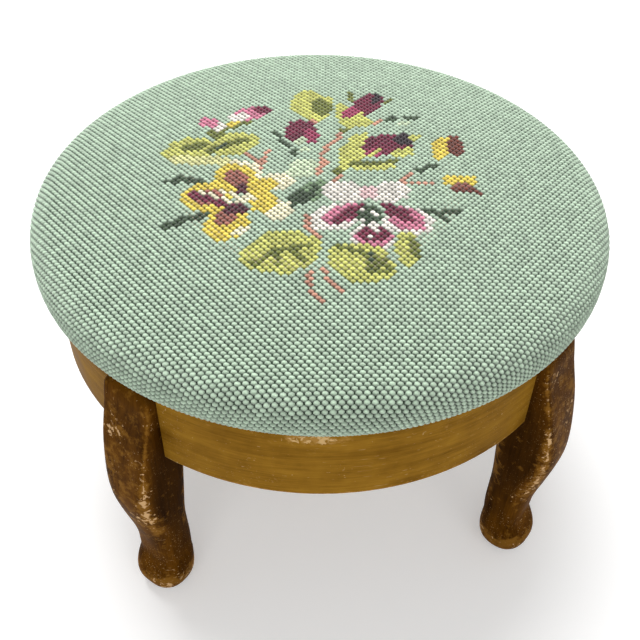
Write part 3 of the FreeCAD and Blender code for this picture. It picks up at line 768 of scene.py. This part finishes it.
# %% The spray's shapes
# After its kind and colour, an oval or a leaf has its middle's x and y, half its length, half its width,
# and its turn in degrees if it is turned. A line has half its thickness, and its points. Lengths are
# millimetres on the flat canvas, with x to the right and y to the back. Later shapes cover earlier ones.
OVAL, LINE, LEAF = "oval", "line", "leaf"
SPRAY = (
    # Pale leaves under the rest
    (LEAF, "mint", -9, 9, 11, 9, 40), (OVAL, "mint", -5, 29, 3.5, 2.5), (OVAL, "mint", 58, 52, 6, 1.8),
    # Stems
    (LINE, "salmon", 1.5, ((18, 42), (8, 30), (3, 20), (1, 8), (-2, 0))),
    (LINE, "salmon", 1.5, ((3, 20), (6, 12), (0, 6))), (LINE, "salmon", 1.5, ((11, 0), (7, -4))),
    (LINE, "salmon", 1.5, ((-40, 29), (-35, 18), (-33, 12))),
    (LINE, "salmon", 1.5, ((-26, 32), (-33, 16))), (LINE, "salmon", 2.2, ((52, -2), (43, -10))),
    (LINE, "salmon", 1.5, ((43, -11), (61, -12))), (LINE, "salmon", 1.5, ((38, 53), (45, 56))),
    (OVAL, "salmon", 4, 60, 3.5, 2.5),
    (LINE, "salmon", 1.5, ((-16, -80), (-18, -88), (-16, -95), (-13, -101))),
    (LINE, "salmon", 1.5, ((-9, -78), (-8, -86), (-3, -95))),
    (LINE, "salmon", 1.2, ((-12, -33), (-13, -45), (-8, -52), (-8, -60))),
    # Dark sprigs on the left
    (LINE, "dark_green", 1.5, ((-89, 9), (-80, 6))), (LINE, "dark_green", 2.6, ((-80, 10), (-66, 3))),
    (LINE, "dark_green", 2.6, ((-88, -33), (-80, -29), (-65, -26))),
    (OVAL, "dark_green", -81, -30, 5, 4, 30),
    (LINE, "dark_green", 1.5, ((-21, 50), (-19, 42), (-15, 33))), (OVAL, "dark_green", -13, 26, 3, 2.5),
    # Leaf between the two large flowers
    (LEAF, "sage", -9, -15, 15, 7, 42), (LEAF, "dark_green", -13, -17.5, 14, 5, 42),
    (OVAL, "sage", -8, -11, 3, 1.8, 42),
    # Bud behind the middle
    (OVAL, "maroon", -5.6, 48, 10.2, 13.5), (OVAL, "magenta", -0.5, 42.5, 4.8, 7.5),
    (OVAL, "mint", -7, 38, 3.6, 4.6),
    # Sprigs on the right
    (LINE, "dark_green", 1.6, ((51, -37), (60, -39), (71, -39))),
    (LINE, "dark_green", 1.5, ((58, -41), (63, -45))), (OVAL, "dark_green", 53, 58, 5, 3),
    (OVAL, "dark_green", 65, 58.5, 5, 2.4), (OVAL, "olive", 11, 4, 3, 3), (OVAL, "olive", 18, 9, 3, 3),
    (OVAL, "olive", 20, 47, 3, 2.5),
    # Pink buds at the back left
    (OVAL, "olive", -57, 53, 7, 4.5, -60), (OVAL, "white", -56, 62, 8, 4.5, -60),
    (OVAL, "pink", -61, 68, 7, 5, -50), (LINE, "olive", 1.8, ((-52, 56), (-46, 60), (-37, 64))),
    (OVAL, "yellow", -45.5, 64.5, 5.5, 4, 20), (OVAL, "pink", -35.5, 74, 14, 8, 22),
    (OVAL, "white", -42, 71, 7, 5, 22), (OVAL, "maroon", -27, 78, 5.5, 5),
    # Two leaves on the left
    (LEAF, "lime", -73, 38, 17, 14, 5), (OVAL, "olive", -70, 41, 8, 3.8, 5),
    (LINE, "pale_lime", 4.5, ((-82, 29), (-68, 26), (-55, 23))), (LEAF, "lime", -47, 40, 16, 13, 15),
    (LINE, "olive", 3, ((-60, 35), (-50, 41), (-40, 44))), (OVAL, "dark_green", -54, 39, 4, 2.4, 20),
    # Yellow flower, petal by petal
    (OVAL, "cream", -46, 7, 15.5, 13.5, 100), (OVAL, "yellow", -48.5, 5.5, 13.5, 11.5, 100),
    (OVAL, "mauve", -48, 3.5, 9, 6, 100), (OVAL, "dark_maroon", -46, -6, 4.5, 3, 100),
    (OVAL, "cream", -25, -2.5, 10, 8, 5), (OVAL, "yellow", -34, -4, 9, 7, 5),
    (OVAL, "cream", -28, -28, 9.5, 9, -50), (OVAL, "yellow", -35, -18, 8, 11),
    (OVAL, "yellow", -56, -36, 14.5, 11.5, 60), (OVAL, "cream", -50, -43, 6, 3, 20),
    (OVAL, "mauve", -55, -29, 9, 5.5, 60), (OVAL, "yellow", -65, -11, 15, 12.5, -30),
    (OVAL, "mauve", -64, -11, 10, 7, -35), (LINE, "maroon", 3.2, ((-73, -7), (-50, -22))),
    (LINE, "cream", 1.5, ((-69, -5), (-60, -11))), (LINE, "cream", 1.5, ((-58, -13), (-50, -19))),
    (LINE, "cream", 1.5, ((-56, -6), (-44, -16))), (OVAL, "dark_maroon", -50, -24, 6, 4),
    (OVAL, "cream", -44, -15, 6, 3.5),
    # Leaf at the back
    (LEAF, "lime", 5, 80, 20, 13.5, 95), (OVAL, "olive", 11, 77, 6.5, 11), (OVAL, "lime", 16, 86, 4, 4),
    # Leaves round the dark buds
    (LEAF, "lime", 23, 24, 21, 8, 62), (OVAL, "lime", 32, 7, 13, 4.5),
    (LINE, "olive", 2, ((18, 10), (45, 10))), (OVAL, "lime", 24, 64, 6, 16),
    (OVAL, "lime", 30, 57, 10, 7.5),
    # Bud at the back right
    (OVAL, "maroon", 40, 77, 16, 8.5, 55), (OVAL, "magenta", 28, 68, 8, 5, 45),
    (OVAL, "black_purple", 47, 84, 7, 3, 70), (OVAL, "lime", 33, 63, 5, 2.5, 70),
    (OVAL, "olive", 31, 88, 2, 8), (LINE, "olive", 1.7, ((53, 78), (57, 84))),
    # Bud on the right
    (OVAL, "maroon", 44.5, 29, 16, 11, 18), (OVAL, "black_purple", 55, 34, 6, 6),
    (OVAL, "magenta", 34, 20, 6, 4, 25), (OVAL, "lime", 52, 19.5, 7.5, 4.5, 20),
    (OVAL, "lime", 62, 35, 4, 2.5, 40), (OVAL, "lime", 36, 21, 6, 2.5, 40),
    # Small yellow buds
    (OVAL, "yellow", 76, 23, 13, 6, 70), (OVAL, "brown", 85, 25, 11, 5, 80),
    (LINE, "dark_green", 1.8, ((57, 0), (63, 4), (70, 5))), (OVAL, "yellow", 79, -11, 10.5, 5.5),
    (OVAL, "mauve", 80, -16, 5, 3), (LINE, "brown", 2, ((73, -20), (83, -20), (89, -24))),
    # White and pink flower, petal by petal
    (OVAL, "white", 11, -16, 13, 10, -20), (OVAL, "white", 36.5, -19, 12, 9.5, 20),
    (OVAL, "pale_pink", 25, -18, 5, 6), (OVAL, "white", 3.5, -38, 15.5, 10.5, 20),
    (OVAL, "white", 41.5, -45, 14, 12), (OVAL, "white", 20, -57, 12, 11),
    (OVAL, "pink", 8, -35, 13.5, 6.5, 28), (OVAL, "pink", 41, -43, 12, 8.5, -50),
    (OVAL, "pink", 21, -56, 10, 9), (OVAL, "maroon", 11, -36, 12, 3.8, 35),
    (OVAL, "maroon", 37, -37, 11, 4.5, -50), (OVAL, "maroon", 21, -54, 8, 6.5),
    # Its middle, with pale dots
    (OVAL, "dark_green", 22, -38, 7, 8),
    *((OVAL, "white", x, y, r, r) for x, y, r in (
        (19, -34, 1.8), (25, -37, 1.8), (17, -41, 1.8), (29, -42, 2), (23, -44, 1.8), (19, -55, 2),
        (23, -50, 2))),
    # Leaves in front
    (LEAF, "lime", -29, -62, 22, 17, 10), (LINE, "olive", 1.8, ((-45, -70), (-33, -62), (-15, -59))),
    (LINE, "olive", 1.4, ((-33, -62), (-31, -72))), (LINE, "olive", 1.4, ((-24, -60), (-18, -73))),
    (LEAF, "lime", 11, -75, 19, 15, -35), (OVAL, "olive", 19, -78, 7, 6.5, -35),
    (OVAL, "dark_green", 17, -72, 2, 4), (LINE, "olive", 1.6, ((0, -62), (12, -67), (20, -74))),
    (OVAL, "lime", 22, -80, 1.8, 1.8), (LEAF, "lime", 37, -67, 14, 7, 80), (OVAL, "olive", 41, -67, 3, 9))
print(len(SPRAY), "shapes in the spray")

# %% Colour of each stitch
LEAF_POWER = 1.6          # 2 gives an oval, and less gives it pointed ends


def covered(shape, x, y):
    """True where a shape of the spray covers the flat points."""
    kind, _, *rest = shape
    if kind == LINE:
        half, points = rest
        near = np.full(x.shape, 1e9)
        for (ax, ay), (bx, by) in zip(points, points[1:]):
            dx, dy = bx - ax, by - ay
            share = np.clip(((x - ax) * dx + (y - ay) * dy) / (dx * dx + dy * dy), 0, 1)
            near = np.minimum(near, np.hypot(x - ax - share * dx, y - ay - share * dy))
        return near <= half
    cx, cy, long, wide, *turn = rest
    a = math.radians(turn[0] if turn else 0)
    u = ((x - cx) * math.cos(a) + (y - cy) * math.sin(a)) / long
    v = ((y - cy) * math.cos(a) - (x - cx) * math.sin(a)) / wide
    if kind == LEAF:
        return np.abs(u) ** LEAF_POWER + np.abs(v) ** LEAF_POWER <= 1.0
    return u * u + v * v <= 1.0


HEM_MARGIN = 1.0          # no stitch starts closer to the hem
WORKED_SHADES, GROUND_SHADES = (0.72, 1.2), (0.84, 1.12)


def stitch_spots():
    """Flat places of all stitches, where the slanting canvas threads cross."""
    rows = int(RUN_HEM / 2.2)   # closer than the threads, so that the slanting grid covers the round cloth
    i, j = np.meshgrid(np.arange(-rows, rows + 1), np.arange(-rows, rows + 1))
    (ax, ay), (bx, by) = ((size * math.cos(math.radians(turn)), size * math.sin(math.radians(turn)))
                          for size, turn in (THREAD_A, THREAD_B))
    x, y = (i * ax + j * bx).ravel(), (i * ay + j * by).ravel()
    keep = np.hypot(x, y) < RUN_HEM - HEM_MARGIN
    return x[keep], y[keep]


flat_x, flat_y = stitch_spots()
rng = np.random.default_rng(7)
colours = np.tile(np.array(WOOL["ground"]), (len(flat_x), 1))
for shape in SPRAY:
    colours[covered(shape, flat_x, flat_y)] = WOOL[shape[1]]
worked = np.abs(colours - np.array(WOOL["ground"])).sum(axis=1) > 0.01
shade = np.where(worked, rng.uniform(*WORKED_SHADES, len(flat_x)), rng.uniform(*GROUND_SHADES, len(flat_x)))
colours[:, :3] *= shade[:, None]
print(len(flat_x), "stitches")

# %% Wool
def wool():
    """Soft yarn in its stitch's colour, with painted shade and a painted highlight: dark down its flanks,
    at its two ends and in the low places of its ply, and light on top.
    """
    made, tree, shader = material("wool", 0.85, Sheen_Weight=0.35, Sheen_Roughness=0.5)
    tint = add(tree, "ShaderNodeAttribute", attribute_name="wool_colour")
    spot = add(tree, "ShaderNodeTexCoord")
    ply = add(tree, "ShaderNodeTexWave", Scale=1.0, Distortion=1.0, bands_direction="DIAGONAL")
    join(tree, stretched(tree, spot.outputs["UV"], (7.0, 9.0, 1.0)), ply.inputs["Vector"])
    fuzz = noise_at(tree, spot.outputs["Object"], 1800.0, 2.0, 0.7)
    height = calc(tree, "MULTIPLY_ADD", fuzz, 0.6, calc(tree, "MULTIPLY", ply.outputs["Fac"], 0.5))
    around = add(tree, "ShaderNodeSeparateXYZ")
    join(tree, spot.outputs["UV"], around.inputs[0])
    # Painted light and shade: the flanks and ends are darkened, and the top is lifted above the stitch's
    # own colour as a painted highlight
    flank = calc(tree, "ABSOLUTE", calc(tree, "SUBTRACT", around.outputs["Y"], 0.75))
    flank = calc(tree, "MULTIPLY", flank, 4.0, clamp=True)
    tip = calc(tree, "ABSOLUTE", calc(tree, "MULTIPLY_ADD", around.outputs["X"], 2.0, -1.0))
    flank_and_tip_shade = calc(tree, "MAXIMUM", calc(tree, "POWER", flank, 1.3), calc(tree, "POWER", tip, 4.0))
    painted_highlight = calc(tree, "MULTIPLY_ADD", flank_and_tip_shade, -0.85, 1.2)
    # Painted shade in the low places of the ply and fuzz, times the painted light of the top and flanks
    shade = calc(tree, "MULTIPLY", calc(tree, "MULTIPLY_ADD", height, 0.4, 0.8), painted_highlight)
    shaded = add(tree, "ShaderNodeVectorMath", operation="SCALE")
    join(tree, tint.outputs["Color"], shaded.inputs[0])
    join(tree, shade, shaded.inputs["Scale"])
    join(tree, shaded.outputs[0], shader.inputs["Base Color"])
    bump(tree, shader, height, 0.6, 0.0003)
    return made


WOOL_YARN = wool()
print("wool:", len(WOOL_YARN.node_tree.nodes), "nodes")

# %% Stitches
STITCH_DEPTH = CANVAS_DEPTH - STITCH_HIGH * 0.14
LEAN_SPREAD, SIZE_SPREAD = 0.05, 0.03


def stitches(name, chosen):
    """One mesh with a copy of the stitch at each chosen place."""
    bm = bmesh.new()
    slant = math.radians(STITCH_SLANT)
    for k in chosen:
        x, y = flat_x[k], flat_y[k]
        run, turn = math.hypot(x, y), math.atan2(y, x)
        r, z, across, up = seat_spot(run, STITCH_DEPTH)
        out = Vector((math.cos(turn), math.sin(turn), 0.0))
        normal = out * across + Vector((0, 0, up))
        down = out * up - Vector((0, 0, across))
        around = Vector((-out.y, out.x, 0.0))
        lean = slant - turn + rng.normal(0, LEAN_SPREAD)
        along = down * math.cos(lean) + around * math.sin(lean)
        beside = normal.cross(along)
        size = 1.0 + rng.normal(0, SIZE_SPREAD)
        spot = out * r * MM + Vector((0, 0, z * MM))
        place = Matrix((
            (along.x * size * MM, beside.x * size * MM, normal.x * MM, spot.x),
            (along.y * size * MM, beside.y * size * MM, normal.y * MM, spot.y),
            (along.z * size * MM, beside.z * size * MM, normal.z * MM, spot.z),
            (0, 0, 0, 1)))
        one_stitch.transform(place)
        bm.from_mesh(one_stitch)
        one_stitch.transform(place.inverted())
    mesh = mesh_from(name, bm, recalc=False)
    tint = mesh.color_attributes.new("wool_colour", "FLOAT_COLOR", "POINT")
    per_stitch = len(one_stitch.vertices)
    tint.data.foreach_set("color", np.repeat(colours[chosen], per_stitch, axis=0).ravel())
    return mesh


quarter = (np.floor((np.degrees(np.arctan2(flat_y, flat_x)) + 45.0) / 90.0).astype(int)) % 4
for number, side in enumerate(("right", "back", "left", "front")):
    chosen = np.nonzero(quarter == number)[0]
    name = "stitches_" + side
    mesh = stitches(name, chosen)
    piece(name, mesh, WOOL_YARN, ["needlepoint_cover"])

# %% [markdown]
# ## Bare wood and steel
# The board and the corner blocks are plain softwood that was never varnished. The tacks, nails and screws
# are steel that has dulled. These nodes keep their own shapes and only get a material.

# %% Bare wood and steel
def bare_wood(name, dark, light, grain_scale):
    made, tree, shader = material(name, 0.75)
    spot = add(tree, "ShaderNodeTexCoord")
    grain = noise_at(tree, stretched(tree, spot.outputs["Object"], grain_scale), 1.0, 5.0, 0.6, 0.6)
    stain = noise_at(tree, spot.outputs["Object"], 22.0, 3.0)
    tone = calc(tree, "MULTIPLY_ADD", grain, 0.75, calc(tree, "MULTIPLY", stain, 0.4))
    join(tree, ramp(tree, tone, ((0.35, dark), (0.75, light))), shader.inputs["Base Color"])
    bump(tree, shader, grain, 0.3, 0.0004)
    return made


def old_steel(name, clean, rust):
    made, tree, shader = material(name, 0.5, Metallic=0.9)
    spot = add(tree, "ShaderNodeTexCoord")
    spots = noise_at(tree, spot.outputs["Object"], 900.0, 4.0, 0.7)
    join(tree, ramp(tree, spots, ((0.42, clean), (0.62, rust))), shader.inputs["Base Color"])
    join(tree, calc(tree, "MULTIPLY_ADD", spots, 0.5, 0.25), shader.inputs["Roughness"])
    bump(tree, shader, spots, 0.3, 0.0001)
    return made


def dress(surface, *nodes):
    for node in nodes:
        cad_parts[node].data.materials.clear()
        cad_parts[node].data.materials.append(surface)
        print(node, "wears", surface.name)


dress(bare_wood("board wood", srgb(120, 92, 58), srgb(182, 150, 104), (18.0, 420.0, 420.0)), "seat_board")
dress(bare_wood("block wood", srgb(110, 80, 46), srgb(176, 140, 92), (260.0, 260.0, 50.0)),
      *("corner_block_" + corner for corner in LEGS))
dress(old_steel("tack steel", srgb(52, 54, 62), srgb(92, 58, 38)), "cover_tacks", "block_nails")
dress(old_steel("screw steel", srgb(120, 116, 108), srgb(110, 80, 56)), "seat_screws")

# %% [markdown]
# ## Room
# A studio shot: a pale floor, a pale room, and three soft lamps, with the strongest high behind the stool.
# The room and the floor look white to the camera through the Light Path node, so that no extra light falls
# on the stool for that. Near the stool the floor keeps its shadow, and it is clear from below, to show the
# underside.

# %% Room
AMBIENT = 0.38            # the room's light on the stool, where 1 is white
WHITE = (1, 1, 1, 1)


def room():
    world = bpy.data.worlds.new("room")
    bpy.context.scene.world = world
    world.use_nodes = True
    tree = world.node_tree
    back = next(node for node in tree.nodes if node.type == "BACKGROUND")
    seen = add(tree, "ShaderNodeLightPath")
    bright = calc(tree, "MAXIMUM", seen.outputs["Is Camera Ray"], seen.outputs["Is Glossy Ray"])
    back.inputs["Color"].default_value = WHITE
    join(tree, calc(tree, "MULTIPLY_ADD", bright, 1.0 - AMBIENT, AMBIENT), back.inputs["Strength"])


room()
print("room lights the stool with", AMBIENT)

# %% Floor
FLOOR_HALF = 6.0
SHADOW_REACH = 0.35       # metres from the stool's axis, where the floor starts to turn white
NEAR_GLOW, MORE_GLOW = 0.3, 0.65


def floor():
    bm = bmesh.new()
    bmesh.ops.create_grid(bm, x_segments=1, y_segments=1, size=FLOOR_HALF)
    mesh = mesh_from("floor", bm, recalc=False)
    made = new_object("floor", mesh)
    surface, tree, shader = material("pale floor", 0.9, Base_Color=(0.85, 0.85, 0.85, 1.0))
    seen = add(tree, "ShaderNodeLightPath")
    spot = add(tree, "ShaderNodeTexCoord")
    side = add(tree, "ShaderNodeNewGeometry")
    far = add(tree, "ShaderNodeVectorMath", operation="LENGTH")
    join(tree, spot.outputs["Object"], far.inputs[0])
    away = past(tree, far.outputs["Value"], SHADOW_REACH, 1.1)
    glow = calc(tree, "MULTIPLY_ADD", away, MORE_GLOW, NEAR_GLOW)
    glow = calc(tree, "MULTIPLY", seen.outputs["Is Camera Ray"], glow)
    shader.inputs["Emission Color"].default_value = WHITE
    join(tree, glow, shader.inputs["Emission Strength"])
    join(tree, calc(tree, "SUBTRACT", 1.0, side.outputs["Backfacing"]), shader.inputs["Alpha"])
    mesh.materials.append(surface)


floor()
print("floor", 2 * FLOOR_HALF, "m wide")

# %% Lamps
LAMP_SIZE = 1.2
AIM = Vector((0, 0, 0.12))


def lamp(name, place, watts):
    """Round soft lamp that points at the stool."""
    data = bpy.data.lights.new(name, "AREA")
    data.shape = "DISK"
    data.size = LAMP_SIZE
    data.energy = watts
    made = new_object(name, data)
    made.location = place
    made.rotation_euler = (AIM - Vector(place)).to_track_quat("-Z", "Y").to_euler()
    print(name, "lamp", watts, "W")


lamp("key", (-0.15, 0.6, 1.7), 32.0)
lamp("fill", (-0.55, -1.55, 1.2), 6.5)
lamp("side", (0.6, -1.4, 1.3), 3.8)

# %% Finish
bpy.context.scene.view_settings.view_transform = "Standard"
